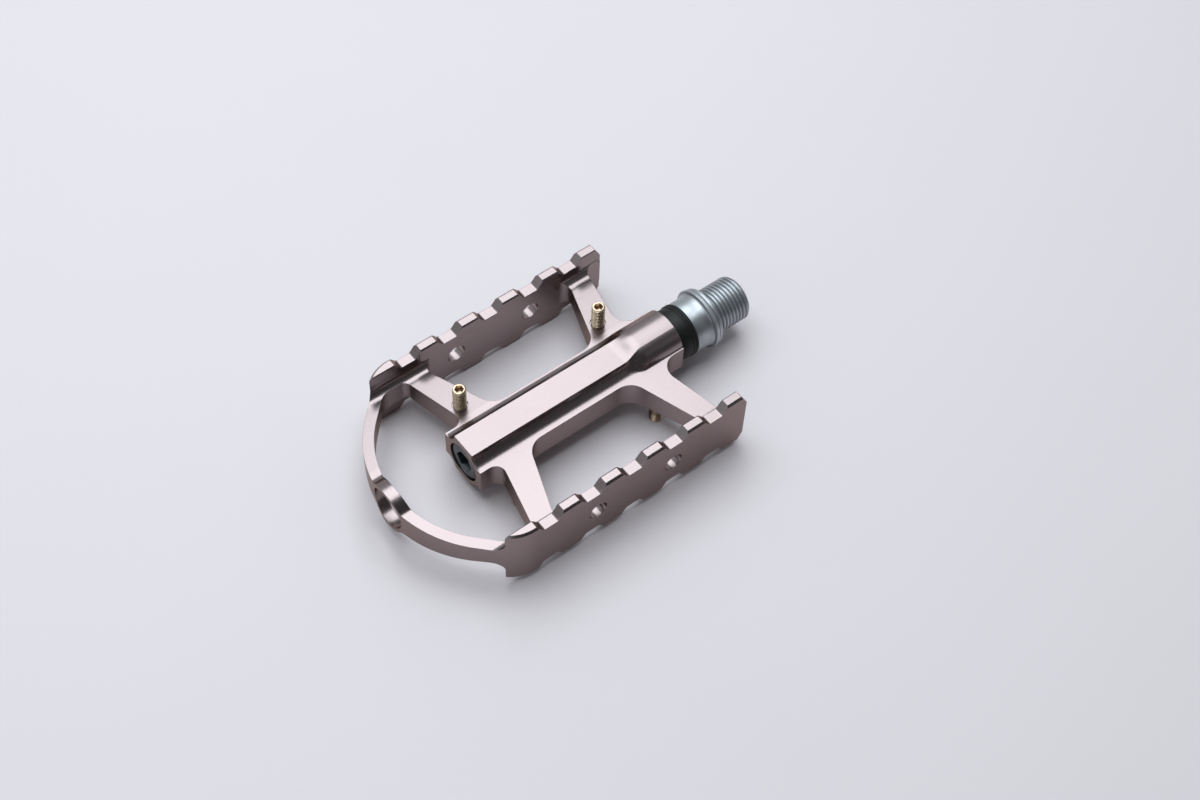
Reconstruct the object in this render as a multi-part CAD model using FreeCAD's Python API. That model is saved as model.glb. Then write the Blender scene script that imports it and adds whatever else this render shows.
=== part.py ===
"""Platform pedal: a one-piece machined cage turning on a tapered steel spindle.

Millimetres. +Y runs along the spindle towards the crank, +X to one toothed rail, +Z up.
The origin is on the spindle axis, at the shoulder that seats against the crank arm.
"""
import FreeCAD, Part
import os
from math import asin, atan2, cos, pi, radians, sin, sqrt, tan
from FreeCAD import Vector

# Spindle, from the crank thread inwards
thread_d = 14.29            # 9/16 inch pedal thread, major diameter
thread_len = 12.2
thread_lead_in = 1.1        # chamfer at the thread's free end
key_across_flats = 8.0      # hex socket in the threaded end
key_depth = 9.0
shoulder_d = 19.0           # larger ring of the double shoulder
shoulder_rim_d = 18.4       # smaller ring, against the crank
shoulder_len = 3.2
shoulder_rim_len = 1.6
neck_d = 16.4               # smooth neck at the seal
neck_root_d = 17.5          # the neck flares to this at the shoulder
neck_len = 5.8
journal_d = 12.0            # runs in the plain bush
shank_end_d = 7.6           # the taper ends here, beside the needle bearing

# Rubber seal on the spindle, against the barrel's inboard face
seal_len = 6.1
seal_d = 16.3
seal_bore_d = 13.0
seal_gap = 0.3              # running gap to the barrel
seat_run_in = 0.6           # the seal's seat carries on this far into the barrel

# Plain bush at the inboard end, needle bearing at the outboard end
running_gap = 0.03          # radial, journal in bush
bush_len = 12.0
bush_wall = 1.0
bush_inset = 1.0
track_d = 6.0               # spindle's outboard end, where the needles roll
needle_d = 2.0
needle_len = 5.2
needle_count = 9
needle_gap = 0.04           # needle to track and to cup
cup_d = 12.0
cup_len = 7.9
cup_lip_t = 0.6             # the cup's ends turn in, and take the end thrust
cup_lip_bore_d = 6.7
thrust_gap = 0.05           # cup to the spindle's step and to the washer
retainer_wall = 0.8
retainer_end_gap = 0.15     # retainer to the cup's lips
pocket_gap = 0.08           # needle to its slot in the retainer

# Lock nut, washer and end cap
washer_d = 7.8
washer_t = 0.6
nut_across_flats = 8.0
nut_h = 3.5
spindle_tip = 0.4           # spindle beyond the nut
nut_room = 0.4              # nut's corners to the cap's skirt, spindle tip to the cap's floor
cap_d = 12.4
cap_sunk = 0.4              # cap's face below the barrel's end
cap_face_t = 5.1
cap_key_across_flats = 6.0
cap_key_depth = 4.3
cap_chamfer = 0.5

# Barrel
barrel_len = 73.0
barrel_top = 7.65           # half height over the two flats
barrel_flat = 8.5           # width of each flat
barrel_foot = 16.8          # width where the sides' coves run level into the web
barrel_lap = 0.03           # the coves end this far below the web's face, so that the two meet cleanly
flange_w = 17.0
barrel_round_d = 19.8       # round inboard end
barrel_round_len = 12.3
barrel_round_top = 40.0     # degrees of its crown, between the lines where the flat's edges run out
barrel_round_foot = 15.5    # its width where its own small coves start
barrel_round_cove = 0.45    # height of those coves
barrel_runout_len = 6.5     # the flats climb to the round end over this length
runout_steps = 6
barrel_edge = 0.35          # chamfer on the outboard end
mid_bore_d = 12.4
lip_bore_d = 10.6           # step in the bore that the cup seats against
lip_len = 1.5

# Cage plan
rail_span = 71.0            # over the rails' outer faces
rail_t = 3.25
rail_reach_in = 39.65       # cage middle to the rails' inboard ends
web_root_t = 8.7            # thickness of the web at the barrel and at the eye
web_rail_t = 6.2            # the web thins to this at the rails
web_flat = 20.0             # width of the web's level middle
cage_setback = 39.0         # barrel's inboard face to the cage middle
arm_shift = 0.85            # arms' middle from the cage middle
arm_station = 20.0          # distance from the axis where the arm edges below are given
arm_inner_edge = 22.36      # arms' middle to the arm's window edge at that station
arm_inner_slope = 0.362
arm_outer_edge = 30.6       # arms' middle to the arm's outer edge at that station
arm_outer_slope = 0.234
window_barrel_r = 6.0
window_rail_r = 2.6
inboard_barrel_r = 5.0
inboard_rail_r = 2.0
outboard_barrel_r = 3.0
outboard_rail_r = 2.2
rail_shelf = 1.7            # width of the web's shelf along the rail, outboard arm to hoop
shelf_len = 8.0
cove_r = 3.0                # concave root where arms and hoop meet the rails
relief = 0.15               # rail's inner face is cut back this much above the arms
relief_z = 4.4              # height where that cut starts

# Hoop and eye
hoop_r = 37.45              # outer radius; the hoop runs out into two straight 45 degree flanks
hoop_t = 3.3
hoop_corner_r = 4.5         # inside corner, shelf to hoop
rail_blend_r = 12.0         # rail's outer face into the hoop's flank
eye_d = 15.6
eye_bore_d = 13.0
eye_root_r = 3.0

# Teeth
rail_h = 21.3               # over the tooth tips
tooth_depth = 2.7
tooth_pitch = 14.48
tooth_top = 5.35
tooth_gap = 4.7             # gap floor
gap_count = 5
tooth_shift = -0.8          # middle gap from the cage middle
tooth_root_r = 0.8
tooth_outer_chamfer = 0.65
tooth_inner_chamfer = 0.4
rail_end_chamfer = 1.9      # rail's inboard end, along the rail
rail_end_chamfer_h = 3.3
rail_tip_r = 1.0

# Side holes and traction pins
side_hole_d = 6.0
side_hole_pitch = 26.8
pin_d = 4.0
pin_x = 14.2
pin_y = 24.8
pin_height = 11.6           # pin's tip above the spindle axis
pin_len = 12.0
pin_key_across_flats = 2.5
pin_key_depth = 2.2
pin_chamfer = 0.3
pin_seat_d = 4.7            # counterbore round each pin where it leaves the arm
pin_seat_depth = 0.5

# Stations along the spindle
shoulder_y = -shoulder_len
neck_y = shoulder_y - neck_len
seal_y = neck_y - seal_len
barrel_in = seal_y - seal_gap
barrel_out = barrel_in - barrel_len
cap_face_y = barrel_out + cap_sunk
cap_floor_y = cap_face_y + cap_face_t
tip_y = cap_floor_y + nut_room
nut_y = tip_y + spindle_tip
washer_y = nut_y + nut_h
cup_y = washer_y + washer_t + thrust_gap
lip_y = cup_y + cup_len
bush_y = barrel_in - bush_inset - bush_len
cage_y = barrel_in - cage_setback
arm_y = cage_y + arm_shift

rail_x = rail_span / 2
rail_in = rail_x - rail_t
shelf_x = rail_in - rail_shelf
shelf_y = arm_y - arm_outer_edge - arm_outer_slope * (shelf_x - arm_station)
hoop_corner = shelf_y - shelf_len - shelf_x - hoop_t * sqrt(2)  # where the hoop's flanks would meet
hoop_y = hoop_corner + hoop_r * sqrt(2)
web_z = web_root_t / 2
rail_z = rail_h / 2
web_slope = (web_root_t - web_rail_t) / (2 * (rail_in + relief) - web_flat)
pin_web_z = web_z - web_slope * (pin_x - web_flat / 2)
flange_x = flange_w / 2
far = rail_span + barrel_len + hoop_r   # longer than the pedal in every direction

os.makedirs("parts", exist_ok=True)


def rounded(corners, place):
    """Closed wire through corners (u, v, radius), each rounded by a tangent arc."""
    edges = []
    start = last = None
    count = len(corners)
    for i, (u, v, r) in enumerate(corners):
        here = Vector(u, v, 0)
        before = Vector(*corners[i - 1][:2], 0) - here
        after = Vector(*corners[(i + 1) % count][:2], 0) - here
        before.normalize()
        after.normalize()
        if r:
            half = before.getAngle(after) / 2
            a = here + before * (r / tan(half))
            b = here + after * (r / tan(half))
            inward = before + after
            inward.normalize()
            middle = here + inward * (r / sin(half) - r)
        else:
            a = b = here
        if last is not None and (a - last).Length > 1e-6:
            edges.append(Part.LineSegment(place(last), place(a)).toShape())
        if r:
            edges.append(Part.Arc(place(a), place(middle), place(b)).toShape())
        start = start or a
        last = b
    if (start - last).Length > 1e-6:
        edges.append(Part.LineSegment(place(last), place(start)).toShape())
    return Part.Wire(edges)


def plan(height):
    """Places (u, v) as X and Y on a level plane."""
    return lambda p: Vector(p.x, p.y, height)


def front(station):
    """Places (u, v) as X and Z on a plane across the spindle."""
    return lambda p: Vector(p.x, station, p.y)


def side(offset):
    """Places (u, v) as Y and Z on a plane beside the spindle."""
    return lambda p: Vector(offset, p.x, p.y)


def prism(wire, way):
    return Part.Face(wire).extrude(way)


def turned(points):
    """Solid of revolution about the spindle axis from (radius, station) points."""
    wire = rounded([(r, y, 0) for r, y in points], plan(0))
    return Part.Face(wire).revolve(Vector(), Vector(0, 1, 0), 360)


def rod(diameter, y0, y1):
    return Part.makeCylinder(diameter / 2, y1 - y0, Vector(0, y0, 0), Vector(0, 1, 0))


def tube(outer, inner, y0, y1):
    return rod(outer, y0, y1).cut(rod(inner, y0, y1))


def hexagon(across_flats, y0, y1):
    corner = across_flats / sqrt(3)
    points = [(corner * cos(k * pi / 3), corner * sin(k * pi / 3), 0) for k in range(6)]
    return prism(rounded(points, front(y0)), Vector(0, y1 - y0, 0))


def both_sides(shape):
    """The shape and its mirror image across the spindle axis."""
    return shape.fuse(shape.mirror(Vector(), Vector(1, 0, 0)))


def both_faces(shape):
    """The shape and its mirror image below the cage's mid plane."""
    return shape.fuse(shape.mirror(Vector(), Vector(0, 0, 1)))


def four_fold(quarter):
    """Closed section from the corners of its upper +X quarter, listed from the top down."""
    right = quarter + [(x, -z, r) for x, z, r in reversed(quarter)]
    return right + [(-x, z, r) for x, z, r in reversed(right)]


def save(name, shape):
    shape.exportStep("parts/%s.step" % name)


def arm_edge(x, edge, slope):
    """Distance of an arm's edge from the arms' middle, at x from the axis."""
    return edge + slope * (x - arm_station)


def window():
    """Plan of the opening between barrel, rail and the two arms on the +X side."""
    near = arm_edge(flange_x, arm_inner_edge, arm_inner_slope)
    out = arm_edge(rail_in, arm_inner_edge, arm_inner_slope)
    return rounded([(flange_x, arm_y - near, window_barrel_r), (flange_x, arm_y + near, window_barrel_r),
                    (rail_in, arm_y + out, window_rail_r), (rail_in, arm_y - out, window_rail_r)],
                   plan(-far / 2))


def inboard_notch():
    """Plan of the open notch between barrel and rail, on the crank side of the arm."""
    near = arm_edge(flange_x, arm_outer_edge, arm_outer_slope)
    out = arm_edge(rail_in, arm_outer_edge, arm_outer_slope)
    return rounded([(flange_x, arm_y + near, inboard_barrel_r), (rail_in, arm_y + out, inboard_rail_r),
                    (rail_in, far, 0), (flange_x, far, 0)], plan(-far / 2))


def hoop_gap():
    """Plan of the opening between the outboard arms, the barrel's end and the hoop."""
    near = arm_y - arm_edge(flange_x, arm_outer_edge, arm_outer_slope)
    corner = hoop_corner + hoop_t * sqrt(2)
    right = [(shelf_x, shelf_y - shelf_len, hoop_corner_r), (shelf_x, shelf_y, outboard_rail_r),
             (flange_x, near, outboard_barrel_r), (flange_x, barrel_out, 0)]
    left = [(-x, y, r) for x, y, r in reversed(right)]
    return rounded([(0, corner, hoop_r - hoop_t)] + right + left, plan(-far / 2))


def outline(inset, height):
    """Outer plan of rails and hoop, drawn in by an inset and set at a height."""
    x = rail_x - inset
    end = cage_y + rail_reach_in
    corner = hoop_corner + inset * sqrt(2)
    blend = rail_blend_r - inset
    return rounded([(0, corner, hoop_r - inset), (x, corner + x, blend), (x, end, 0),
                    (-x, end, 0), (-x, corner + x, blend)], plan(height))


def rail_elevation():
    """Side view of a rail: teeth above and below, chamfered inboard end, rounded tip."""
    end = cage_y + rail_reach_in
    tip = hoop_corner + rail_in + relief
    floor = rail_z - tooth_depth
    middle = cage_y + tooth_shift
    flank = tooth_pitch - tooth_top
    top = [(end, rail_z - rail_end_chamfer_h, 0), (end - rail_end_chamfer, rail_z, 0)]
    for k in range(gap_count):
        y = middle + ((gap_count - 1) / 2 - k) * tooth_pitch
        top += [(y + flank / 2, rail_z, 0), (y + tooth_gap / 2, floor, tooth_root_r),
                (y - tooth_gap / 2, floor, tooth_root_r), (y - flank / 2, rail_z, 0)]
    top += [(tip, rail_z, rail_tip_r)]
    return top + [(y, -z, r) for y, z, r in reversed(top)]


def rails():
    """Both toothed side rails, full height, with broken tooth edges."""
    shoulder = rail_z - tooth_outer_chamfer
    block = prism(outline(0, -shoulder), Vector(0, 0, 2 * shoulder))
    crest = Part.makeLoft([outline(0, shoulder), outline(tooth_outer_chamfer, rail_z)], True, True)
    block = block.fuse(both_faces(crest))
    block = block.common(prism(rounded(rail_elevation(), side(-far / 2)), Vector(far, 0, 0)))
    core = prism(rounded(four_fold(crotch()), front(-far)), Vector(0, 2 * far, 0))
    return block.cut(core).cut(both_sides(both_faces(pockets())))


def crotch():
    """Upper quarter of the space between the rails, widened by the inner tooth chamfers."""
    over = tooth_inner_chamfer + tooth_depth
    return [(rail_in + over, rail_z + tooth_depth, 0), (rail_in, rail_z - tooth_inner_chamfer, 0)]


def pockets():
    """Shallow cut in the rail's inner face beside the arms, on the +X side's upper half."""
    edge = arm_edge(rail_in, arm_inner_edge, arm_inner_slope)
    depth = relief + tooth_inner_chamfer
    x = rail_in + relief - depth
    inboard = Part.makeBox(depth, far, rail_z, Vector(x, arm_y + edge, relief_z))
    outboard = Part.makeBox(depth, far, rail_z, Vector(x, arm_y - edge - far, relief_z))
    return inboard.fuse(outboard)


def web():
    """Arms, barrel flange, rail shelves and hoop: thinner towards the rails, coved into them."""
    wall = rail_in + relief
    inside = wall + rail_t / 3
    low = web_rail_t / 2
    lap = rail_z - tooth_depth - tooth_root_r
    section = [(web_flat / 2, web_z, 0), (wall, low, cove_r), (wall, lap, 0), (inside, lap, 0)]
    bar = prism(rounded(four_fold(section), front(barrel_in)), Vector(0, -far, 0))
    up = Vector(0, 0, far)
    bar = bar.common(prism(outline(0, -far / 2), up))
    for opening in (window(), inboard_notch()):
        bar = bar.cut(both_sides(prism(opening, up)))
    return bar.cut(prism(hoop_gap(), up))


def eye():
    """Boss on the hoop, on the spindle axis, running into the hoop through concave roots."""
    r = eye_d / 2
    reach = r + eye_root_r
    root = Vector(sqrt(reach ** 2 - (web_z + eye_root_r) ** 2), -far, web_z + eye_root_r)
    touch = Vector(root.x * r / reach, -far, root.z * r / reach)
    foot = Vector(root.x, -far, web_z)
    dip = (touch - root) + (foot - root)
    dip.normalize()
    dip = root + dip * eye_root_r
    edges = []
    for sz in (1, -1):
        flip = lambda p, sx: Vector(sx * p.x, p.y, sz * p.z)
        crown = Vector(0, -far, sz * r)
        edges.append(Part.Arc(flip(touch, 1), crown, flip(touch, -1)).toShape())
        for sx in (1, -1):
            edges.append(Part.Arc(flip(touch, sx), flip(dip, sx), flip(foot, sx)).toShape())
    for x in (foot.x, -foot.x):
        edges.append(Part.LineSegment(Vector(x, -far, web_z), Vector(x, -far, -web_z)).toShape())
    boss = prism(Part.Wire(Part.__sortEdges__(edges)), Vector(0, far + hoop_y, 0))  # outboard half only
    ring = Part.makeCylinder(hoop_r, eye_d * 2, Vector(0, hoop_y, -eye_d))
    ring = ring.cut(Part.makeCylinder(hoop_r - hoop_t, eye_d * 2, Vector(0, hoop_y, -eye_d)))
    return boss.common(ring)


def arc_point(start, slope, end, share):
    """Point at a share of the arc that leaves start at a slope (radians) and ends at end."""
    chord = end - start
    turn = atan2(chord.y, chord.x) - slope
    way = slope + turn * share
    return start + Vector(cos(way), sin(way), 0) * (chord.Length * sin(turn * share) / sin(turn))


def barrel_section(share, station):
    """Closed section of the barrel: flat-topped where the share is 0, round where it is 1."""
    foot = Vector(barrel_foot / 2, web_z - barrel_lap, 0)
    edge = Vector(barrel_flat / 2, barrel_top, 0)
    flat = [Vector(0, barrel_top, 0), edge]
    flat += [arc_point(foot, pi, edge, s) for s in (0.7, 0.4, 0.2)]
    half = radians(barrel_round_top / 2)
    edge = Vector(sin(half), cos(half), 0) * (barrel_round_d / 2)
    neck = Vector(barrel_round_foot / 2, foot.y + barrel_round_cove, 0)
    crown = Vector(0, barrel_round_d / 2, 0)
    round_end = [crown, edge, arc_point(edge, -half, neck, 0.5), neck, arc_point(foot, pi, neck, 0.5)]
    crown, edge, side, neck, cove = [a + (b - a) * share for a, b in zip(flat, round_end)]
    place = front(station)
    edges = []
    for sz in (1, -1):
        flip = lambda p, sx: place(Vector(sx * p.x, sz * p.y, 0))
        if share:
            edges.append(Part.Arc(flip(edge, -1), flip(crown, 1), flip(edge, 1)).toShape())
        else:
            edges.append(Part.LineSegment(flip(edge, -1), flip(edge, 1)).toShape())
        for sx in (1, -1):
            edges.append(Part.Arc(flip(edge, sx), flip(side, sx), flip(neck, sx)).toShape())
            edges.append(Part.Arc(flip(neck, sx), flip(cove, sx), flip(foot, sx)).toShape())
    for sx in (1, -1):
        low = place(Vector(sx * foot.x, -foot.y, 0))
        edges.append(Part.LineSegment(place(Vector(sx * foot.x, foot.y, 0)), low).toShape())
    return Part.Wire(Part.__sortEdges__(edges))


def barrel():
    """Hub of the cage: flat-topped with coved sides, climbing to a round inboard end."""
    round_y = barrel_in - barrel_round_len
    flat_y = round_y - barrel_runout_len
    body = prism(barrel_section(0, barrel_out), Vector(0, flat_y - barrel_out, 0))
    edges = [e for e in body.Edges if abs(e.BoundBox.YMax - barrel_out) < 1e-6]
    body = body.makeChamfer(barrel_edge, edges)
    climb = []
    for step in range(runout_steps + 1):
        s = step / runout_steps
        climb.append(barrel_section(s * s * (3 - 2 * s), flat_y + barrel_runout_len * s))
    runout = Part.makeLoft(climb, True, False)
    nose = prism(barrel_section(1, round_y), Vector(0, barrel_round_len, 0))
    return body.fuse(runout).fuse(nose)


def barrel_bore():
    """Stepped bore: bush seat, clearance, lip, cup seat and cap thread."""
    return turned([(0, barrel_in + 1), (journal_d / 2 + bush_wall, barrel_in + 1),
                   (journal_d / 2 + bush_wall, bush_y), (mid_bore_d / 2, bush_y),
                   (mid_bore_d / 2, lip_y + lip_len), (lip_bore_d / 2, lip_y + lip_len),
                   (lip_bore_d / 2, lip_y), (cup_d / 2, lip_y), (cup_d / 2, cup_y),
                   (cap_d / 2, cup_y), (cap_d / 2, barrel_out - 1), (0, barrel_out - 1)])


def pin_places():
    """(x, y, up) of the traction pins: up on the -X arms, down on the +X arms."""
    return [(side_x * pin_x, cage_y + end * pin_y, -side_x) for side_x in (-1, 1) for end in (-1, 1)]


def cage():
    body = rails().fuse(web()).fuse(eye()).fuse(barrel())
    body = body.cut(barrel_bore())
    body = body.cut(rod(eye_bore_d, hoop_y - far, hoop_y - hoop_r / 2))
    for end in (-1, 1):
        y = cage_y + end * side_hole_pitch / 2
        for way in (-1, 1):
            start = Vector(way * (rail_in - 1), y, 0)
            body = body.cut(Part.makeCylinder(side_hole_d / 2, rail_t + 2, start, Vector(way, 0, 0)))
    for x, y, up in pin_places():
        foot = Vector(x, y, up * (pin_height - pin_len))
        body = body.cut(Part.makeCylinder(pin_d / 2, pin_len, foot, Vector(0, 0, up)))
        seat = Vector(x, y, up * (pin_web_z - pin_seat_depth))
        body = body.cut(Part.makeCylinder(pin_seat_d / 2, pin_height, seat, Vector(0, 0, up)))
    return body.removeSplitter()


def spindle():
    """Forged steel spindle: crank thread, double shoulder, seal seat, journal and taper."""
    thread_r = thread_d / 2
    rim = shoulder_rim_d / 2
    ring = shoulder_d / 2
    step_y = lip_y + thrust_gap
    body = turned([(0, thread_len), (thread_r - thread_lead_in, thread_len),
                   (thread_r, thread_len - thread_lead_in), (thread_r, 0), (rim, 0),
                   (rim, -shoulder_rim_len), (ring, -shoulder_rim_len), (ring, shoulder_y),
                   (neck_root_d / 2, shoulder_y), (neck_d / 2, neck_y), (seal_bore_d / 2, neck_y),
                   (seal_bore_d / 2, barrel_in - seat_run_in),
                   (journal_d / 2 - running_gap, barrel_in - seat_run_in),
                   (journal_d / 2 - running_gap, bush_y), (shank_end_d / 2, step_y),
                   (track_d / 2, step_y), (track_d / 2, tip_y), (0, tip_y)])
    return body.cut(hexagon(key_across_flats, thread_len - key_depth, thread_len + 1))


def needle_cup():
    """Drawn cup pressed into the barrel; its turned-in ends hold the needles."""
    r = track_d / 2 + needle_d + 2 * needle_gap
    body = tube(cup_d, cup_lip_bore_d, cup_y, lip_y)
    return body.cut(rod(2 * r, cup_y + cup_lip_t, lip_y - cup_lip_t))


def needle_ring():
    """Axes of the needles, as points on the plane midway along the cup."""
    r = track_d / 2 + needle_gap + needle_d / 2
    turns = [2 * pi * k / needle_count for k in range(needle_count)]
    return [Vector(r * sin(t), cup_y + cup_len / 2, r * cos(t)) for t in turns]


def needle(place, gap):
    """One needle about its middle, or the room for one with a gap all round."""
    length = needle_len + 2 * gap
    return Part.makeCylinder(needle_d / 2 + gap, length, place - Vector(0, length / 2, 0), Vector(0, 1, 0))


def needle_retainer():
    pitch_d = track_d + 2 * needle_gap + needle_d
    inset = cup_lip_t + retainer_end_gap
    body = tube(pitch_d + retainer_wall, pitch_d - retainer_wall, cup_y + inset, lip_y - inset)
    for place in needle_ring():
        body = body.cut(needle(place, pocket_gap))
    return body


def lock_nut():
    return hexagon(nut_across_flats, nut_y, washer_y).cut(rod(track_d, nut_y, washer_y))


def end_cap():
    """Screw cap: its skirt holds the cup on its seat, a hex socket turns it."""
    r = cap_d / 2
    skirt = nut_across_flats / sqrt(3) + nut_room
    body = turned([(0, cap_face_y), (r - cap_chamfer, cap_face_y), (r, cap_face_y + cap_chamfer),
                   (r, cup_y), (skirt, cup_y), (skirt, cap_floor_y), (0, cap_floor_y)])
    return body.cut(hexagon(cap_key_across_flats, cap_face_y - 1, cap_face_y + cap_key_depth))


def pin(x, y, up):
    """Traction pin with a hex socket in its tip, standing up or hanging down from an arm."""
    body = Part.makeCylinder(pin_d / 2, pin_len, Vector(x, y, pin_height - pin_len))
    tip = [e for e in body.Edges if abs(e.BoundBox.ZMin - pin_height) < 1e-6]
    body = body.makeChamfer(pin_chamfer, tip)
    corner = pin_key_across_flats / sqrt(3)
    points = [(x + corner * cos(k * pi / 3), y + corner * sin(k * pi / 3), 0) for k in range(6)]
    body = body.cut(prism(rounded(points, plan(pin_height - pin_key_depth)), Vector(0, 0, pin_key_depth + 1)))
    return body if up > 0 else body.mirror(Vector(), Vector(0, 0, 1))


save("cage_body", cage())
save("spindle", spindle())
save("spindle_seal", tube(seal_d, seal_bore_d, seal_y, neck_y))
save("inboard_bush", tube(journal_d + 2 * bush_wall, journal_d, bush_y, bush_y + bush_len))
save("needle_cup", needle_cup())
save("needle_rollers", Part.makeCompound([needle(place, 0) for place in needle_ring()]))
save("needle_retainer", needle_retainer())
save("thrust_washer", tube(washer_d, track_d, washer_y, washer_y + washer_t))
save("lock_nut", lock_nut())
save("end_cap", end_cap())
for x, y, up in pin_places():
    level = "upper" if up > 0 else "lower"
    end = "inboard" if y > cage_y else "outboard"
    save("%s_%s_pin" % (level, end), pin(x, y, up))
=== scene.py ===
# %% [markdown]
# # A platform pedal
# The pedal is a one-piece machined aluminium cage that turns on a steel spindle. Two toothed rails
# and a hoop grip the sole, four brass pins add bite, and a black rubber seal closes the crank side.
# The CAD model is the fixed frame: it gives every size and place. This lesson dresses it: fine edges,
# real threads, finishes, light and a camera.

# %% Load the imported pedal
from math import asin, atan2, pi, radians, sqrt, tan

import bpy
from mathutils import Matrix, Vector


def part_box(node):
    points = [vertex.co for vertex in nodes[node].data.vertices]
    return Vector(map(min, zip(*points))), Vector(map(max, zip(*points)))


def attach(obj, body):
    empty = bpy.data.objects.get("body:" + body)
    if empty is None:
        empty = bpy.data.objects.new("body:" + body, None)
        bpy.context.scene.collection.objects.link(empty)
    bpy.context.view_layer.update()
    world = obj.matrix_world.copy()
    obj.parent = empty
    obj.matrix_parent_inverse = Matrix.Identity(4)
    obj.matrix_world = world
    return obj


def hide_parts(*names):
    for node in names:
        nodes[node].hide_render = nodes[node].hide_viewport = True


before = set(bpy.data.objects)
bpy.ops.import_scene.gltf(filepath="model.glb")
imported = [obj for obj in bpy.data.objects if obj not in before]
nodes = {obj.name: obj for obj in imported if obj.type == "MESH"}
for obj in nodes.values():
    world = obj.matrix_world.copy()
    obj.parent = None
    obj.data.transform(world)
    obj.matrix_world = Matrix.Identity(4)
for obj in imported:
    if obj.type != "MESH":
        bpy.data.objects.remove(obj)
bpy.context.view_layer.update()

MM = 0.001
print("nodes:", sorted(nodes))

# %% [markdown]
# ## The camera
# The photograph looks down at about 54 degrees, from over the outboard end of the near rail. A lens a
# little longer than normal keeps the rails almost parallel. The place, in metres, and the turn, in
# degrees, come from fitting a pinhole camera to the pedal's own corners, so the render can be laid over
# the photograph.

# %% Camera
CAMERA_PLACE = (0.24353, -0.24447, 0.43071)
CAMERA_TURN = (35.7598, -1.6034, 52.1101)
LENS_MM, SENSOR_MM = 55.29, 36.0
NEAREST = 0.01
scene = bpy.context.scene
scene.view_settings.view_transform = "Standard"
bpy.ops.object.select_all(action="DESELECT")
bpy.ops.object.camera_add(location=CAMERA_PLACE, rotation=[radians(angle) for angle in CAMERA_TURN])
camera = bpy.context.object
camera.name = "photo_camera"
camera.data.lens = LENS_MM
camera.data.sensor_width = SENSOR_MM
camera.data.clip_start = NEAREST
scene.camera = camera
print("camera:", LENS_MM, "mm lens")

# %% [markdown]
# ## One way to add a node
# Materials are small graphs. `add` makes one node, sets its properties, and fills its sockets with
# values or with links from other nodes, so each finish below reads as a list of its layers. Colours are
# written as on a colour chart, in sRGB, and a shader wants linear light, so `tone` converts them.
# `grain` turns a feature's real size in millimetres into a texture scale per metre.


# %% Node helpers
def add(tree, kind, inputs, **settings):
    """Adds one node with its settings; each input takes a value or another node's output."""
    made = tree.nodes.new(kind)
    for name, value in settings.items():
        setattr(made, name, value)
    for socket, value in inputs.items():
        if isinstance(value, bpy.types.NodeSocket):
            tree.links.new(value, made.inputs[socket])
        else:
            made.inputs[socket].default_value = value
    return made


def tone(code):
    """Linear colour of an sRGB hex code."""
    parts = [int(code[i:i + 2], 16) / 255 for i in (1, 3, 5)]
    return [c / 12.92 if c <= 0.04045 else ((c + 0.055) / 1.055) ** 2.4 for c in parts] + [1.0]


def grain(size_mm):
    """Texture scale, per metre, for features of a size in millimetres."""
    return 1.0 / (size_mm * MM)


def blank(name):
    """A new material, its tree, its shader and its object coordinates."""
    material = bpy.data.materials.new(name)
    material.use_nodes = True
    tree = material.node_tree
    place = add(tree, "ShaderNodeTexCoord", {})
    return material, tree, tree.nodes["Principled BSDF"], place.outputs["Object"]


print("white is", [round(v, 3) for v in tone("#FFFFFF")])

# %% [markdown]
# ## Anodised aluminium
# The cage is milled from one billet, tumbled, and anodised in a champagne tone. Anodising is a thin
# clear oxide with dye in it, so the metal still mirrors its surroundings, softly. Three layers give
# that look: a slow drift of tone over centimetres, faint cutter streaks along the spindle that change
# the gloss, and a fine etched grain as bump. The grain on the real part is about 0.05 mm; it is drawn
# at 0.12 mm so that it shows. At a shallow view light crosses more dye, so walls look deeper and
# warmer: that is the specular tint. A Bevel node rounds every edge by 0.18 mm in the shading alone.

# %% Anodised aluminium
DRIFT_MM, STREAK_MM, ETCH_MM, SOFT_EDGE_MM = 22.0, 0.35, 0.12, 0.18
STREAK_STRETCH = (1.0, 0.03, 1.0)
champagne, tree, shader, place = blank("champagne_anodised_aluminium")
drift = add(tree, "ShaderNodeTexNoise", {"Vector": place, "Scale": grain(DRIFT_MM), "Detail": 2.0})
body_tone = add(tree, "ShaderNodeMix", {"Factor": drift.outputs["Fac"], "A": tone("#9A8D8D"),
                                        "B": tone("#938686")}, data_type="RGBA")
along = add(tree, "ShaderNodeMapping", {"Vector": place, "Scale": STREAK_STRETCH})
streaks = add(tree, "ShaderNodeTexNoise", {"Vector": along.outputs["Vector"], "Scale": grain(STREAK_MM),
                                           "Detail": 3.0})
gloss = add(tree, "ShaderNodeMapRange", {"Value": streaks.outputs["Fac"], "From Min": 0.3,
                                         "From Max": 0.7, "To Min": 0.255, "To Max": 0.275})
etch = add(tree, "ShaderNodeTexNoise", {"Vector": place, "Scale": grain(ETCH_MM), "Detail": 2.0})
edge = add(tree, "ShaderNodeBevel", {"Radius": SOFT_EDGE_MM * MM}, samples=4)
relief = add(tree, "ShaderNodeBump", {"Height": etch.outputs["Fac"], "Strength": 0.05,
                                      "Distance": 0.02 * MM, "Normal": edge.outputs["Normal"]})
tree.links.new(body_tone.outputs["Result"], shader.inputs["Base Color"])
tree.links.new(gloss.outputs["Result"], shader.inputs["Roughness"])
tree.links.new(relief.outputs["Normal"], shader.inputs["Normal"])
shader.inputs["Metallic"].default_value = 1.0
shader.inputs["Specular Tint"].default_value = tone("#D8C8C0")
print("made", champagne.name)

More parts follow.
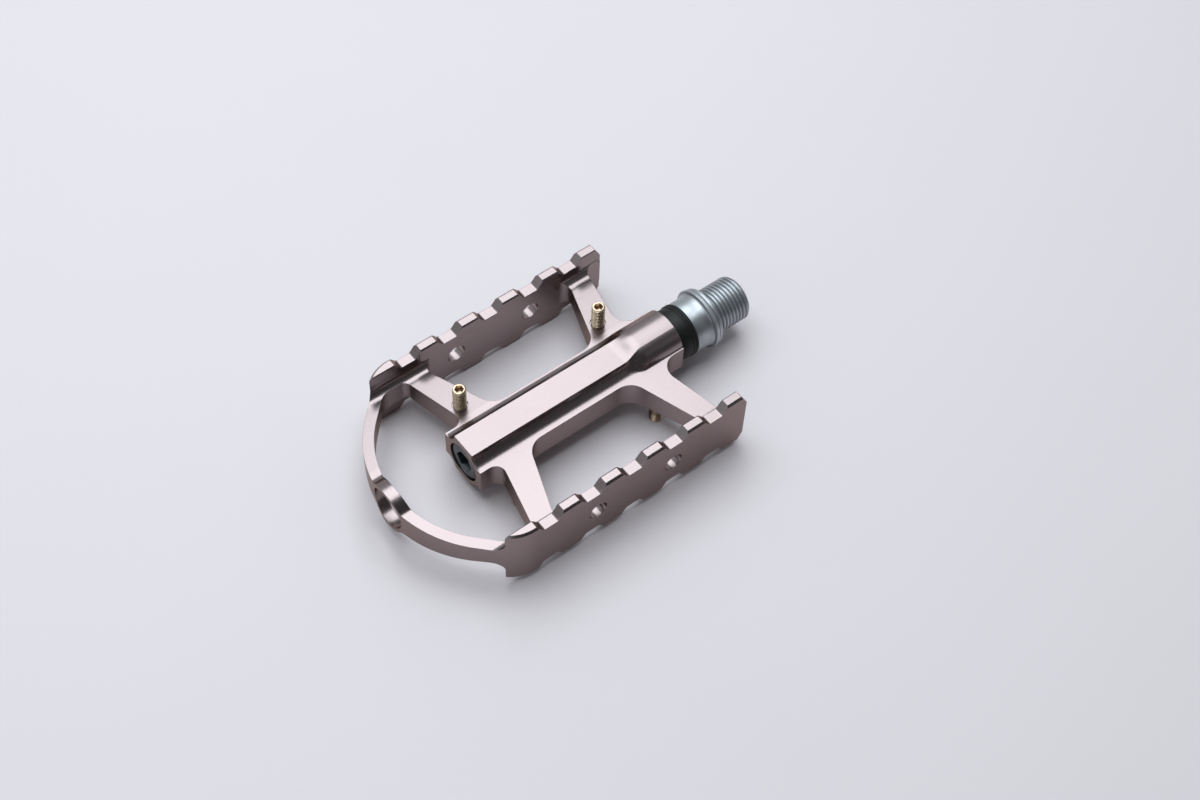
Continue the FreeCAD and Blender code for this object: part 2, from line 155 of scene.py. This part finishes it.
# %% [markdown]
# ## Zinc-plated steel
# The spindle is turned, then plated. Turning leaves rings round the axis, so a wave that runs along
# Y, with a little noise, drives the bump, and clouds of a few millimetres drive tone and gloss. A fine
# feed is 0.2 mm a turn, which is too fine to show. Blender's wave runs through 20 radians a unit, and
# the scale below draws the rings 2 pi times as far apart as the feed, at 1.26 mm. Plain zinc is a satin,
# slightly cool grey.

# %% Zinc-plated steel
FEED_MM, CLOUD_MM = 0.2, 2.5
WAVE_RADIANS = 20
zinc, tree, shader, place = blank("zinc_plated_steel")
rings = add(tree, "ShaderNodeTexWave", {"Vector": place, "Scale": grain(FEED_MM) / WAVE_RADIANS,
                                        "Distortion": 0.6, "Detail": 1.0},
            wave_type="BANDS", bands_direction="Y")
cloud = add(tree, "ShaderNodeTexNoise", {"Vector": place, "Scale": grain(CLOUD_MM), "Detail": 3.0})
plate = add(tree, "ShaderNodeMix", {"Factor": cloud.outputs["Fac"], "A": tone("#B4B7BA"),
                                    "B": tone("#A0A4A8")}, data_type="RGBA")
gloss = add(tree, "ShaderNodeMapRange", {"Value": cloud.outputs["Fac"], "From Min": 0.3,
                                         "From Max": 0.7, "To Min": 0.38, "To Max": 0.48})
relief = add(tree, "ShaderNodeBump", {"Height": rings.outputs["Fac"], "Strength": 0.12,
                                      "Distance": 0.01 * MM})
tree.links.new(plate.outputs["Result"], shader.inputs["Base Color"])
tree.links.new(gloss.outputs["Result"], shader.inputs["Roughness"])
tree.links.new(relief.outputs["Normal"], shader.inputs["Normal"])
shader.inputs["Metallic"].default_value = 1.0
print("made", zinc.name)

# %% [markdown]
# ## Rubber
# Nitrile rubber is a near-black dielectric with a dull sheen and faint mould grain. Dust clouds of a
# millimetre or two vary its tone and its gloss, because a single flat value looks like plastic.

# %% Rubber
DUST_MM, PORE_MM, RUBBER_IOR = 1.5, 0.15, 1.52
rubber, tree, shader, place = blank("black_nitrile_rubber")
dust = add(tree, "ShaderNodeTexNoise", {"Vector": place, "Scale": grain(DUST_MM), "Detail": 4.0})
face = add(tree, "ShaderNodeMix", {"Factor": dust.outputs["Fac"], "A": tone("#0A0B0A"),
                                   "B": tone("#131412")}, data_type="RGBA")
gloss = add(tree, "ShaderNodeMapRange", {"Value": dust.outputs["Fac"], "To Min": 0.42, "To Max": 0.6})
pores = add(tree, "ShaderNodeTexNoise", {"Vector": place, "Scale": grain(PORE_MM), "Detail": 2.0})
relief = add(tree, "ShaderNodeBump", {"Height": pores.outputs["Fac"], "Strength": 0.15,
                                      "Distance": 0.02 * MM})
tree.links.new(face.outputs["Result"], shader.inputs["Base Color"])
tree.links.new(gloss.outputs["Result"], shader.inputs["Roughness"])
tree.links.new(relief.outputs["Normal"], shader.inputs["Normal"])
shader.inputs["IOR"].default_value = RUBBER_IOR
shader.inputs["Specular IOR Level"].default_value = 0.3
print("made", rubber.name)

# %% [markdown]
# ## Brass, dark anodising and the bearing metals
# The pins are machined brass, pale where polished and darker where oil and oxide sit. The end cap is
# aluminium with a dark dye. Inside the barrel are bronze and two more steels. One recipe does for all of
# them: patches of two tones, gloss that follows the patches, and a fine tool grain as bump.


# %% Metals of one recipe
TOOL_MM = 0.1


def cut_metal(name, light, dark, patch_mm, least_rough, most_rough):
    """A machined metal: two tones in patches, gloss that follows them, and fine tool grain."""
    material, tree, shader, place = blank(name)
    patch = add(tree, "ShaderNodeTexNoise", {"Vector": place, "Scale": grain(patch_mm), "Detail": 3.0})
    tint = add(tree, "ShaderNodeMix", {"Factor": patch.outputs["Fac"], "A": tone(light),
                                       "B": tone(dark)}, data_type="RGBA")
    sheen = add(tree, "ShaderNodeMapRange", {"Value": patch.outputs["Fac"], "From Min": 0.3,
                                             "From Max": 0.7, "To Min": least_rough, "To Max": most_rough})
    tool = add(tree, "ShaderNodeTexNoise", {"Vector": place, "Scale": grain(TOOL_MM), "Detail": 2.0})
    bump = add(tree, "ShaderNodeBump", {"Height": tool.outputs["Fac"], "Strength": 0.08,
                                        "Distance": 0.01 * MM})
    tree.links.new(tint.outputs["Result"], shader.inputs["Base Color"])
    tree.links.new(sheen.outputs["Result"], shader.inputs["Roughness"])
    tree.links.new(bump.outputs["Normal"], shader.inputs["Normal"])
    shader.inputs["Metallic"].default_value = 1.0
    print("made", name)
    return material


brass = cut_metal("machined_brass", "#CDB9A5", "#AB957B", 0.6, 0.22, 0.34)
dark_dye = cut_metal("dark_anodised_aluminium", "#4A4D50", "#37393C", 1.5, 0.3, 0.42)
bronze = cut_metal("sintered_bronze", "#B08A52", "#8E6B3C", 0.5, 0.38, 0.55)
race_steel = cut_metal("ground_bearing_steel", "#D5D7D8", "#C2C5C7", 1.0, 0.1, 0.18)
strip_steel = cut_metal("pressed_steel_strip", "#A5A5A2", "#8C8C88", 1.0, 0.3, 0.42)

# %% [markdown]
# ## Turning on a lathe
# Nearly every small piece of a pedal is turned. By hand in Blender that is a profile drawn one vertex
# at a time with extrude, then Spin round the axis. `lathe` does just that. Merging doubles closes the
# seam and the poles, and only then can the normals be made to face outwards.


# %% Turning
def clear_selection():
    """Leaves object mode with nothing selected, so an operator acts on its own piece only."""
    if bpy.context.mode != "OBJECT":
        bpy.ops.object.mode_set(mode="OBJECT")
    bpy.ops.object.select_all(action="DESELECT")


def draw_profile(name, profile):
    """One vertex, extruded along (radius, y) corners in millimetres; stays in edit mode."""
    clear_selection()
    bpy.ops.mesh.primitive_plane_add(size=MM)
    piece = bpy.context.object
    piece.name = piece.data.name = name
    bpy.ops.object.mode_set(mode="EDIT")
    bpy.ops.mesh.merge(type="CENTER")
    here = Vector((*profile[0], 0)) * MM
    bpy.ops.transform.translate(value=here)
    for corner in profile[1:]:
        there = Vector((*corner, 0)) * MM
        bpy.ops.mesh.extrude_vertices_move(TRANSFORM_OT_translate={"value": there - here})
        here = there
    bpy.ops.mesh.select_all(action="SELECT")
    return piece


def close_mesh():
    """Merges doubles and turns every face outwards, then leaves edit mode."""
    bpy.ops.mesh.select_all(action="SELECT")
    bpy.ops.mesh.remove_doubles(threshold=0.001 * MM)
    bpy.ops.mesh.normals_make_consistent(inside=False)
    bpy.ops.object.mode_set(mode="OBJECT")


def lathe(name, profile, steps=96):
    """A turned piece round the Y axis."""
    piece = draw_profile(name, profile)
    bpy.ops.mesh.spin(steps=steps, angle=2 * pi, center=(0, 0, 0), axis=(0, 1, 0))
    close_mesh()
    return piece


print("ready to turn, in mode", bpy.context.mode)

# %% [markdown]
# ## Cutting and finishing
# A key socket is cut with a tool shape and a Boolean modifier, edges are broken with a Bevel modifier,
# and each modifier is applied at once, so the mesh is the finished piece. `dress` then gives the piece
# its material, puts it under the body that carries it and hides the CAD node it stands for.


# %% Cutting and finishing
def pick(piece):
    """Makes a piece the active one and the only one selected."""
    clear_selection()
    bpy.context.view_layer.objects.active = piece
    piece.select_set(True)


def apply(piece, kind, **settings):
    """Adds one modifier and applies it."""
    pick(piece)
    step = piece.modifiers.new(kind.lower(), kind)
    for name, value in settings.items():
        setattr(step, name, value)
    bpy.ops.object.modifier_apply(modifier=step.name)


def carve(piece, tool, operation):
    """Cuts a piece with a tool shape, which is then thrown away."""
    apply(piece, "BOOLEAN", object=tool, operation=operation, solver="EXACT")
    bpy.data.objects.remove(tool)


def break_edges(piece, width_mm, angle):
    """A narrow rounding on every edge that is sharper than the angle."""
    apply(piece, "BEVEL", width=width_mm * MM, segments=2, limit_method="ANGLE",
          angle_limit=radians(angle), use_clamp_overlap=False)


def smooth(piece, angle):
    """Smooth shading on round faces, crisp edges above the angle."""
    pick(piece)
    bpy.ops.object.shade_smooth_by_angle(angle=radians(angle))


def dress(piece, material, body, slot, *replaced):
    """Gives a finished piece its material and its body, and hides the CAD nodes that it stands for; slot
    is not used.
    """
    piece.data.materials.clear()
    piece.data.materials.append(material)
    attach(piece, body)
    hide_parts(*replaced)
    print(piece.name, len(piece.data.polygons), "faces")


# %% [markdown]
# ## The cage
# The cage is one milled piece, and its form is right in the CAD model: rails, teeth, arms, barrel,
# hoop and eye. Its mesh carries smooth normals within each milled face and crisp ones between faces,
# so it stays as it is and takes the anodised finish.

# %% Cage
cage = nodes["cage_body"]
cage.data.materials.clear()
cage.data.materials.append(champagne)
print(cage.name, len(cage.data.polygons), "faces")

# %% [markdown]
# ## Threads
# A thread is a zigzag profile swept round the axis while it climbs one pitch a turn: the Screw
# modifier. Drawn long and cut off square by two bisects, it becomes a closed solid. The bisects need a
# far smaller threshold than Blender's own, which is a tenth of a millimetre and leaves ragged ends.
# Meeting the thread with a turned envelope then gives the chamfers at its ends, and a hexagonal tool
# cuts the key socket. The same recipe makes the crank thread and the small pins.


# %% Thread recipe
HALF_ANGLE = 30
CUT_THRESHOLD = 1e-4 * MM


def thread(name, major_d, pitch, length, steps, crest_share):
    """A closed 60 degree thread along Y from 0 to its length; its crests are a share of the pitch."""
    crest = pitch * crest_share
    root = pitch / 8
    flank = (pitch - crest - root) / 2
    high = major_d / 2
    low = high - flank / tan(radians(HALF_ANGLE))
    zigzag = []
    for turn in range(-2, int(length / pitch) + 3):
        y = turn * pitch
        zigzag += [(low, y), (low, y + root), (high, y + root + flank), (high, y + root + flank + crest)]
    piece = draw_profile(name, zigzag)
    bpy.ops.object.mode_set(mode="OBJECT")
    apply(piece, "SCREW", axis="Y", angle=2 * pi, screw_offset=pitch * MM, iterations=1, steps=steps,
          render_steps=steps, use_merge_vertices=False)
    bpy.ops.object.mode_set(mode="EDIT")
    bpy.ops.mesh.select_all(action="SELECT")
    bpy.ops.mesh.remove_doubles(threshold=0.002 * MM)
    for y, drop in ((0, {"clear_inner": True}), (length, {"clear_outer": True})):
        bpy.ops.mesh.select_all(action="SELECT")
        bpy.ops.mesh.bisect(plane_co=(0, y * MM, 0), plane_no=(0, 1, 0), use_fill=True,
                            threshold=CUT_THRESHOLD, **drop)
    close_mesh()
    return piece


def hex_tool(across_flats, y0, y1):
    """A hexagonal bar along Y, with a corner on X as in the CAD model."""
    clear_selection()
    bpy.ops.mesh.primitive_cylinder_add(
        vertices=6, radius=across_flats / sqrt(3) * MM, depth=(y1 - y0) * MM,
        location=(0, (y0 + y1) / 2 * MM, 0), rotation=(radians(90), radians(30), 0))
    bpy.ops.object.transform_apply(location=True, rotation=True, scale=True)
    tool = bpy.context.object
    corner = max(tool.data.vertices, key=lambda v: v.co.x).co
    print("key corner at", [round(c / MM, 2) for c in corner])
    return tool


print("thread flanks at", HALF_ANGLE, "degrees")

# %% [markdown]
# ## Crank thread
# The crank takes the standard pedal thread: 9/16 inch across with 20 threads to the inch, so the
# pitch is 1.27 mm. It ends in a narrow relief before the shoulder, and has a chamfer at the free end
# and a hexagonal socket for an 8 mm key. Wide, worn crests catch the light as bright rings.

# %% Crank thread
THREAD_D, THREAD_LEN, THREAD_PITCH, THREAD_CREST = 14.29, 12.2, 1.27, 0.33
LEAD_IN, RELIEF, RELIEF_DEPTH = 1.1, 1.3, 0.75
CRANK_KEY, CRANK_KEY_DEPTH = 8.0, 9.0
CLEAR_R = THREAD_D / 2 + 0.02
RELIEF_R = THREAD_D / 2 - RELIEF_DEPTH
crank_thread = thread("crank_thread", THREAD_D, THREAD_PITCH, THREAD_LEN, 72, THREAD_CREST)
envelope = lathe("envelope", [
    (0, -1), (RELIEF_R, -1), (RELIEF_R, RELIEF - 0.5), (CLEAR_R, RELIEF + 0.3),
    (CLEAR_R, THREAD_LEN - LEAD_IN), (THREAD_D / 2 - LEAD_IN, THREAD_LEN), (0, THREAD_LEN)], 72)
carve(crank_thread, envelope, "INTERSECT")
carve(crank_thread, hex_tool(CRANK_KEY, THREAD_LEN - CRANK_KEY_DEPTH, THREAD_LEN + 1), "DIFFERENCE")
smooth(crank_thread, 25)
dress(crank_thread, zinc, "spindle", "zinc_plated_steel")

# %% [markdown]
# ## Spindle
# Behind the thread come two rounded shoulder rings with a fine groove between them, a neck that is
# hollowed towards the rings, and then, hidden in the barrel, the seal's seat, the bush journal, the
# taper and the needle track. One profile of (radius, y) corners gives them all, a line for each, and a
# narrow bevel takes the edge off each step.

# %% Spindle
SPINDLE_EDGE_MM = 0.18
spindle = lathe("turned_spindle", [
    (0, 0.02), (8.3, 0.02), (8.9, -0.3), (9.15, -0.6), (9.2, -1.5), (8.9, -1.6), (8.9, -1.72),
    (9.4, -1.8), (9.5, -2.2), (9.5, -2.9), (9.35, -3.15), (8.75, -3.2),
    (8.5, -3.6), (8.33, -4.2), (8.25, -5.0), (8.2, -6.0), (8.2, -9.0),
    (6.5, -9.0), (6.5, -16.0),
    (5.97, -16.0), (5.97, -28.4),
    (3.8, -70.0),
    (3.0, -70.0), (3.0, -82.5), (0, -82.5)])
break_edges(spindle, SPINDLE_EDGE_MM, 40)
smooth(spindle, 30)
dress(spindle, zinc, "spindle", "zinc_plated_steel", "spindle")

# %% [markdown]
# ## Rubber seal
# The seal is a moulded sleeve with two rounded ridges beside the neck. They are drawn as small arcs
# in the profile, so they catch two thin highlights.


# %% Seal
SEAL_R, SEAL_BORE_R, SEAL_FRONT, SEAL_BACK = 8.15, 6.5, -9.0, -15.1
RIDGE_HEIGHT, RIDGE_HALF = 0.26, 0.42
RIDGE_ARC = [(-1.0, 0.0), (-0.7, 0.6), (-0.3, 0.95), (0.3, 0.95), (0.7, 0.6), (1.0, 0.0)]


def ridge(y):
    """Profile points of one rounded ridge that is centred on y, going outboard."""
    return [(SEAL_R + RIDGE_HEIGHT * h, y - RIDGE_HALF * t) for t, h in RIDGE_ARC]


seal = lathe("ridged_seal", [
    (SEAL_BORE_R, SEAL_FRONT), (7.95, SEAL_FRONT), (8.1, -9.08), *ridge(-9.6), *ridge(-10.6),
    (SEAL_R, -11.3), (SEAL_R, -15.0), (8.05, SEAL_BACK), (SEAL_BORE_R, SEAL_BACK),
    (SEAL_BORE_R, SEAL_FRONT)])
smooth(seal, 50)
dress(seal, rubber, "spindle", "black_rubber", "spindle_seal")

# %% [markdown]
# ## End cap
# A dark screw cap closes the outboard end of the barrel. It has a flat ring face with a chamfer and a
# hexagonal socket for a 6 mm key. The socket is cut from the turned cap with a boolean.

# %% End cap
CAP_R, CAP_FACE, CAP_FLOOR = 6.2, -88.0, -82.9
CUP_R, CUP_RIM = 5.02, -77.95
CAP_KEY, CAP_KEY_DEPTH, CAP_EDGE_MM = 6.0, 4.3, 0.12
end_cap = lathe("screw_end_cap", [
    (0, CAP_FACE), (CAP_R - 1.0, CAP_FACE), (CAP_R - 0.5, CAP_FACE + 0.12), (CAP_R, CAP_FACE + 0.55),
    (CAP_R, CUP_RIM), (CUP_R, CUP_RIM), (CUP_R, CAP_FLOOR), (0, CAP_FLOOR)], 72)
carve(end_cap, hex_tool(CAP_KEY, CAP_FACE - 1, CAP_FACE + CAP_KEY_DEPTH), "DIFFERENCE")
break_edges(end_cap, CAP_EDGE_MM, 50)
smooth(end_cap, 30)
dress(end_cap, dark_dye, "cage", "black_anodised_aluminium", "end_cap")

# %% [markdown]
# ## Traction pins
# Each pin is a pale brass grub screw, 4 mm across with a 0.7 mm pitch, that stands in a small seat on
# its arm with the socket for a 2.5 mm key outwards. The drill that opens such a socket leaves a cone at
# its bottom, which keeps it dark. One pin is modelled lying along Y.

# %% One traction pin
PIN_D, PIN_PITCH, PIN_LEN, PIN_CREST = 4.0, 0.7, 12.0, 0.12
PIN_CHAMFER, PIN_KEY, PIN_KEY_DEPTH = 0.25, 2.5, 2.2
RIM_R = PIN_D / 2 - PIN_CHAMFER
SHANK_R = PIN_D / 2 + 0.01
pin = thread("pin", PIN_D, PIN_PITCH, PIN_LEN, 36, PIN_CREST)
envelope = lathe("envelope", [
    (0, 0), (RIM_R, 0), (SHANK_R, PIN_CHAMFER),
    (SHANK_R, PIN_LEN - PIN_CHAMFER), (RIM_R, PIN_LEN), (0, PIN_LEN)], 48)
carve(pin, envelope, "INTERSECT")
carve(pin, hex_tool(PIN_KEY, PIN_LEN - PIN_KEY_DEPTH, PIN_LEN + 1), "DIFFERENCE")
print("pin:", len(pin.data.polygons), "faces")

# %% Drill point in the socket
DRILL_R, DRILL_SLOPE, DRILL_LAP = 0.48 * PIN_KEY, 31, 0.05
drill_len = DRILL_R * tan(radians(DRILL_SLOPE))
drill_y = PIN_LEN - PIN_KEY_DEPTH + DRILL_LAP - drill_len / 2
clear_selection()
bpy.ops.mesh.primitive_cone_add(vertices=24, radius1=DRILL_R * MM, radius2=0, depth=drill_len * MM,
                                location=(0, drill_y * MM, 0), rotation=(radians(90), 0, 0))
bpy.ops.object.transform_apply(location=True, rotation=True, scale=True)
carve(pin, bpy.context.object, "DIFFERENCE")
smooth(pin, 25)
print("drill point:", round(drill_len, 2), "mm deep")

# %% [markdown]
# ## A pin on every arm
# Every copy is turned upright, or turned over on the underside, and moved to its arm. Each copy keeps
# its own mesh with its place applied, and the pattern is thrown away.

# %% Four pins
for node in sorted(n for n in nodes if n.endswith("_pin")):
    low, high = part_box(node)
    copy = bpy.data.objects.new("brass_" + node, pin.data.copy())
    scene.collection.objects.link(copy)
    pick(copy)
    upright = node.startswith("upper")
    copy.rotation_euler = (radians(90 if upright else -90), 0, 0)
    copy.location = ((low.x + high.x) / 2, (low.y + high.y) / 2, low.z if upright else high.z)
    bpy.ops.object.transform_apply(location=True, rotation=True, scale=True)
    dress(copy, brass, "cage", "brass_pins", node)
bpy.data.objects.remove(pin)

# %% [markdown]
# ## The hidden pieces
# The bush, the needle bearing, the thrust washer and the lock nut sit inside the barrel. Their CAD
# shapes are right as they are, so they only get their finishes.

# %% Hidden pieces
hidden = {"inboard_bush": bronze, "thrust_washer": bronze, "needle_cup": race_steel,
          "needle_rollers": race_steel, "needle_retainer": strip_steel, "lock_nut": zinc}
for node, material in hidden.items():
    nodes[node].data.materials.clear()
    nodes[node].data.materials.append(material)
    print(node, "->", material.name)

# %% [markdown]
# ## Floor
# The pedal lies on a pale, smooth sheet. It rests on its two lower pins and on the far rail's teeth,
# so the sheet is tilted by about a degree to touch all three.

# %% Floor
PIN_TIP = Vector((14.2, -54.4, -11.6)) * MM
RAIL_TIP = Vector((-34.8, -54.4, -10.65)) * MM
FLOOR_SIZE, FLOOR_GAP_MM = 6.0, 0.05
slope = (RAIL_TIP.z - PIN_TIP.z) / (PIN_TIP.x - RAIL_TIP.x)
clear_selection()
bpy.ops.mesh.primitive_grid_add(x_subdivisions=4, y_subdivisions=4, size=FLOOR_SIZE)
floor = bpy.context.object
floor.name = "floor"
floor.rotation_euler = (0, slope, 0)
floor.location = PIN_TIP - Vector((0, 0, FLOOR_GAP_MM * MM))
print("floor slope in degrees:", round(slope * 180 / pi, 2))

# %% [markdown]
# ## Pale card
# The sheet is a matt, pale card. Real card is never one flat tone, so a noise with spots of about
# 12 cm drifts between two tones that are hardly apart.

# %% Pale card
MOTTLE_MM = 120.0
sheet, tree, shader, place = blank("pale_card")
mottle = add(tree, "ShaderNodeTexNoise", {"Vector": place, "Scale": grain(MOTTLE_MM), "Detail": 3.0})
card = add(tree, "ShaderNodeMix", {"Factor": mottle.outputs["Fac"], "A": tone("#DCD4D7"),
                                   "B": tone("#D9D1D4")}, data_type="RGBA")
tree.links.new(card.outputs["Result"], shader.inputs["Base Color"])
shader.inputs["Roughness"].default_value = 0.6
floor.data.materials.append(sheet)
print("made", sheet.name)

# %% [markdown]
# ## Light
# One very large soft box hangs overhead, a little to the left, just where level faces mirror it
# towards the camera: that is why flats, teeth and arms are bright. The rest of the room is dim, so
# upright walls and the barrel's coves go dark. A weak card on the left lifts the far sides, and a wide,
# weak one in front lifts the flanks of the teeth. A like one behind is there for the other views, since
# metal has only its surroundings to show. The lamps are a little cool and the sheet is a little warm,
# so the sheet looks neutral and the bright flats less pink than the walls.


# %% Soft boxes
AIM = Vector((0.0, -0.055, 0.0))
LAMP_DISTANCE = 0.9
LAMP_TINT = tone("#F1FAFF")[:3]


def soft_box(name, direction, width, height, power):
    """A rectangular area light that faces the pedal; sizes in metres, power in watts."""
    clear_selection()
    way = Vector(direction).normalized()
    bpy.ops.object.light_add(type="AREA", location=AIM + way * LAMP_DISTANCE)
    lamp = bpy.context.object
    lamp.name = name
    lamp.rotation_euler = (-asin(way.y), atan2(way.x, way.z), 0)
    lamp.data.shape = "RECTANGLE"
    lamp.data.size = width
    lamp.data.size_y = height
    lamp.data.energy = power
    lamp.data.color = LAMP_TINT
    print(name, power, "W")


soft_box("top_soft_box", (-0.27, 0.06, 0.95), 0.92, 1.0, 10.2)
soft_box("left_card", (-0.9, 0.2, 0.42), 0.8, 1.2, 1.4)
soft_box("front_card", (0.0, -0.8, 0.5), 2.0, 0.7, 2.8)
soft_box("back_card", (0.0, 0.86, 0.5), 2.0, 0.6, 1.8)

# %% Dim room
ROOM_STRENGTH = 0.08
world = bpy.data.worlds.new("dim_studio")
world.use_nodes = True
scene.world = world
room = world.node_tree.nodes["Background"]
room.inputs["Color"].default_value = tone("#F4F4F8")
room.inputs["Strength"].default_value = ROOM_STRENGTH
print("room light:", ROOM_STRENGTH)
